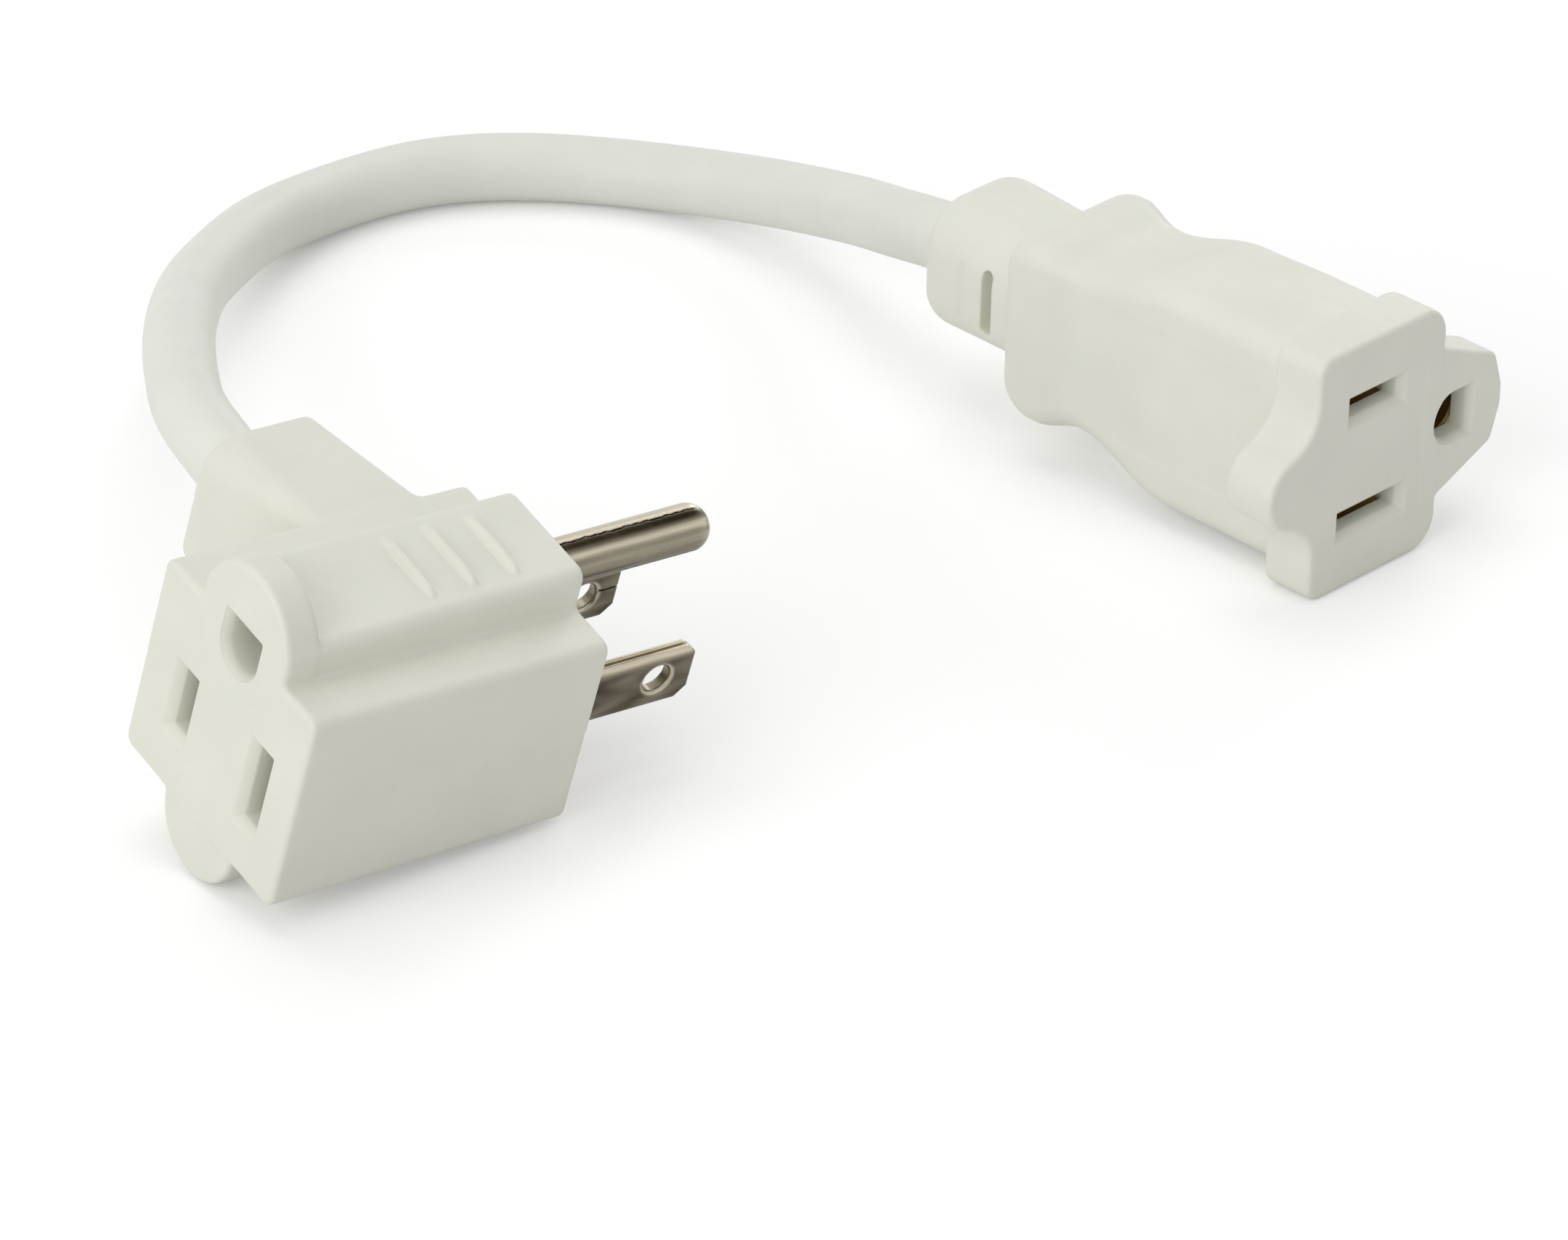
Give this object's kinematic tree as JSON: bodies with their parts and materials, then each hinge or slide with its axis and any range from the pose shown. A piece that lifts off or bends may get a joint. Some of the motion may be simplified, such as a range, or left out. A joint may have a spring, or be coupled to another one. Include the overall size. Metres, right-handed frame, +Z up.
{
  "type": "extension cord",
  "caption": "Short grounded extension cord: a plug with an outlet in its back and its cord arm at the side, a round cord, and a female connector with a waisted grip and a strain relief.",
  "frame": {"origin": "on the floor, in the middle of the footprint of the plug and the connector (without the cord's loop)", "axes": "+X from the plug to the connector, +Y towards the cord's loop, +Z up; the object lies as it rests on a table"},
  "size_m": [0.1458, 0.1327, 0.0358],
  "materials": {
    "pvc": "off-white moulded PVC, satin",
    "liner": "hard moulded insert",
    "plated": "nickel-plated brass, brushed",
    "brass": "plain sheet brass",
    "copper": "bare copper, stranded",
    "black_pvc": "insulation of the hot conductor",
    "white_pvc": "insulation of the neutral conductor",
    "green_pvc": "insulation of the ground conductor",
    "filler": "filler strands"
  },
  "bodies": {
    "root": {"plug_overmold": "pvc", "plug_socket_core": "liner", "plug_blade_carrier": "liner", "hot_blade": "plated", "neutral_blade": "plated", "ground_pin": "plated", "plug_hot_contact": "brass", "plug_neutral_contact": "brass", "plug_ground_contact": "brass", "cord_jacket": "pvc", "cord_fillers": "filler", "hot_insulation": "black_pvc", "neutral_insulation": "white_pvc", "ground_insulation": "green_pvc", "hot_copper": "copper", "neutral_copper": "copper", "ground_copper": "copper", "connector_overmold": "pvc", "connector_core": "liner", "connector_hot_contact": "brass", "connector_neutral_contact": "brass", "connector_ground_contact": "brass"}
  },
  "joints": []
}
